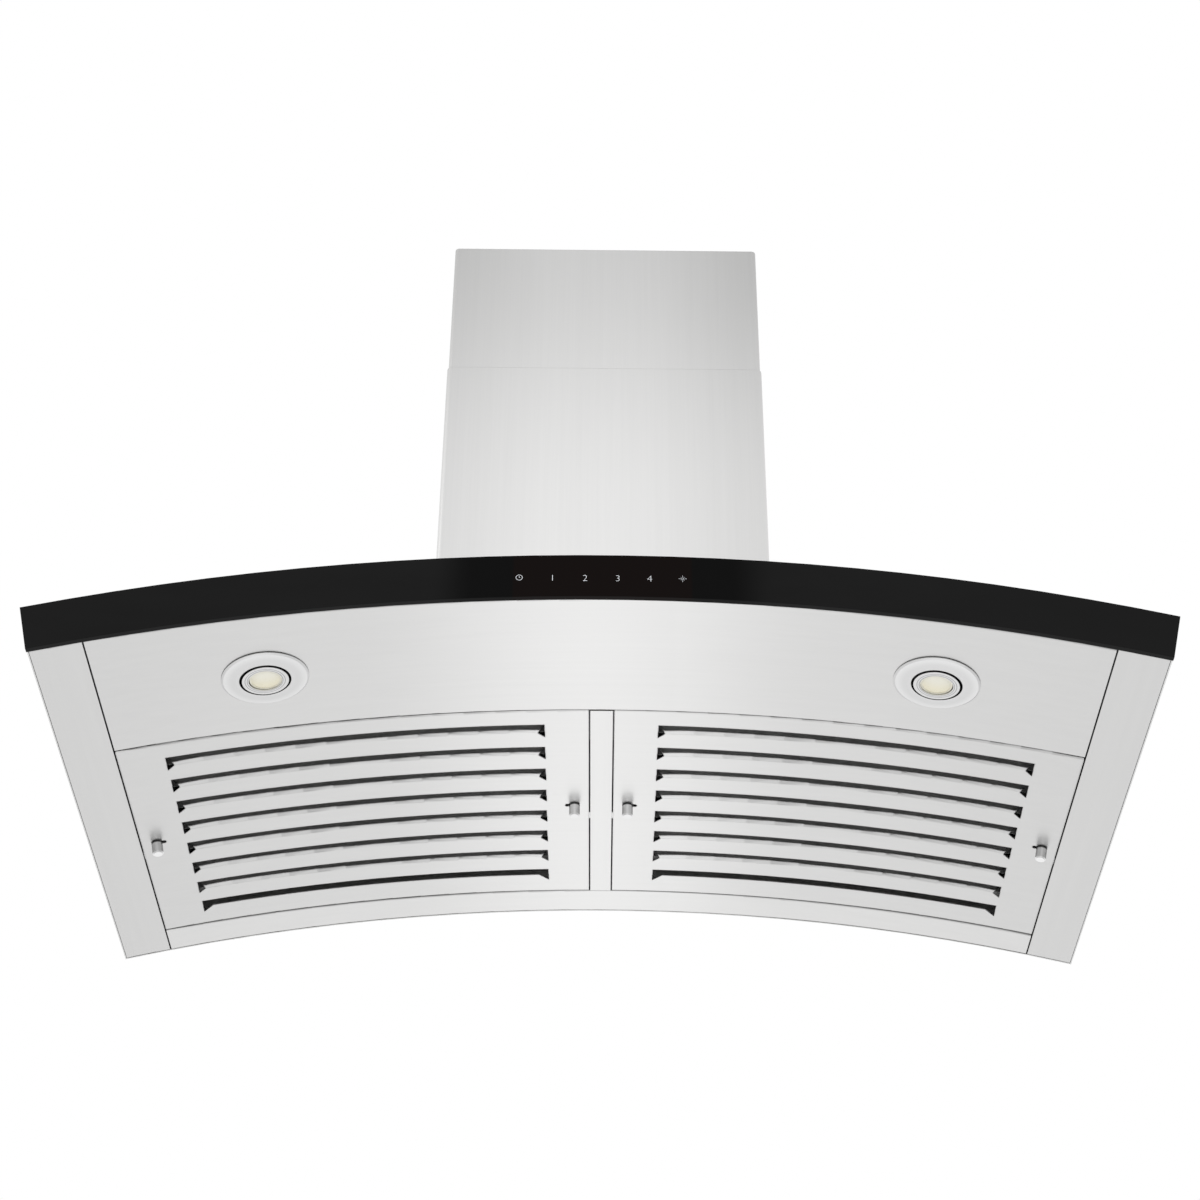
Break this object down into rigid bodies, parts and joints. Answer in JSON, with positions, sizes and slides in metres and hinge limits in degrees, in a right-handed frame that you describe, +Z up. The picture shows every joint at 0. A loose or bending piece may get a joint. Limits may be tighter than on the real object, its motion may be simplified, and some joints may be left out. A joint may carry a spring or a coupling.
{
  "type": "wall mount range hood",
  "caption": "Wall mount range hood with an arched steel canopy, black glass touch-control band, drop-out louvered grease filters, blower and a telescoping chimney.",
  "frame": {"origin": "on the wall plane, on the centre line, at the middle of the four wall fixings of the motor box", "axes": "+X to the right as seen from the front, +Y into the wall, +Z up"},
  "size_m": [0.9, 0.5, 0.6402],
  "materials": {
    "black": "matt black",
    "board": "circuit board green",
    "bright": "bright plain steel",
    "dark_glass": "polished black",
    "plastic": "matt dark grey",
    "steel": "fine brushed stainless",
    "warm_white": "frosted",
    "zinc": "galvanised"
  },
  "bodies": {
    "hood": {"canopy_shell": "steel", "light_panel": "steel", "end_panel_left": "steel", "end_panel_right": "steel", "rear_rail": "steel", "centre_divider": "steel", "glass_fascia": "dark_glass", "control_housing": "plastic", "touch_board": "board", "lamp_bezel_left": "bright", "lamp_bezel_right": "bright", "lamp_body_left": "zinc", "lamp_body_right": "zinc", "lamp_lens_left": "warm_white", "lamp_lens_right": "warm_white", "led_driver": "plastic", "motor_box": "zinc", "blower_scroll": "zinc", "inlet_ring_left": "plastic", "inlet_ring_right": "plastic", "motor": "plastic", "motor_bracket": "zinc", "control_box": "plastic", "cable_gland": "black", "duct_collar": "plastic", "damper_pin": "bright", "lower_chimney_cover": "steel", "cover_screws": "bright", "box_screws": "bright", "collar_screws": "bright"},
    "filter_left": {"filter_face_left": "steel", "filter_baffle_left": "zinc", "latch_guides_left": "plastic", "latch_spring_left_outer": "bright", "latch_spring_left_inner": "bright"},
    "filter_right": {"filter_face_right": "steel", "filter_baffle_right": "zinc", "latch_guides_right": "plastic", "latch_spring_right_outer": "bright", "latch_spring_right_inner": "bright"},
    "impeller": {"impeller": "bright", "motor_shaft": "bright"},
    "damper_front": {"damper_front": "zinc"},
    "damper_rear": {"damper_rear": "zinc"},
    "upper_chimney": {"upper_chimney_cover": "steel", "chimney_bracket": "zinc", "bracket_screws": "bright"},
    "latch_left_outer": {"latch_bolt_left_outer": "bright", "latch_knob_left_outer": "bright"},
    "latch_left_inner": {"latch_bolt_left_inner": "bright", "latch_knob_left_inner": "bright"},
    "latch_right_inner": {"latch_bolt_right_inner": "bright", "latch_knob_right_inner": "bright"},
    "latch_right_outer": {"latch_bolt_right_outer": "bright", "latch_knob_right_outer": "bright"}
  },
  "joints": [
    {"name": "filter_left_drop", "type": "slide", "parent": "hood", "child": "filter_left", "axis": [0, 0, -1], "range_m": [0, 0.15]},
    {"name": "filter_right_drop", "type": "slide", "parent": "hood", "child": "filter_right", "axis": [0, 0, -1], "range_m": [0, 0.15]},
    {"name": "latch_left_outer_slide", "type": "slide", "parent": "filter_left", "child": "latch_left_outer", "axis": [0.9772, 0, 0.2123], "range_m": [0, 0.006], "stiffness_N_per_m": 350, "springref_m": -0.004, "deforming": ["latch_spring_left_outer"]},
    {"name": "latch_left_inner_slide", "type": "slide", "parent": "filter_left", "child": "latch_left_inner", "axis": [-0.9999, 0, -0.0129], "range_m": [0, 0.006], "stiffness_N_per_m": 350, "springref_m": -0.004, "deforming": ["latch_spring_left_inner"]},
    {"name": "latch_right_inner_slide", "type": "slide", "parent": "filter_right", "child": "latch_right_inner", "axis": [0.9999, 0, -0.0129], "range_m": [0, 0.006], "stiffness_N_per_m": 350, "springref_m": -0.004, "deforming": ["latch_spring_right_inner"]},
    {"name": "latch_right_outer_slide", "type": "slide", "parent": "filter_right", "child": "latch_right_outer", "axis": [-0.9772, 0, 0.2123], "range_m": [0, 0.006], "stiffness_N_per_m": 350, "springref_m": -0.004, "deforming": ["latch_spring_right_outer"]},
    {"name": "impeller_spin", "type": "hinge", "parent": "hood", "child": "impeller", "pos_m": [0, -0.1, -0.048], "axis": [1, 0, 0], "continuous": true},
    {"name": "damper_front_swing", "type": "hinge", "parent": "hood", "child": "damper_front", "pos_m": [0, -0.164, 0.152], "axis": [-1, 0, 0], "range_deg": [0, 75]},
    {"name": "damper_rear_swing", "type": "hinge", "parent": "hood", "child": "damper_rear", "pos_m": [0, -0.164, 0.152], "axis": [1, 0, 0], "range_deg": [0, 75]},
    {"name": "upper_chimney_slide", "type": "slide", "parent": "hood", "child": "upper_chimney", "axis": [0, 0, 1], "range_m": [-0.105, 0.18]}
  ]
}
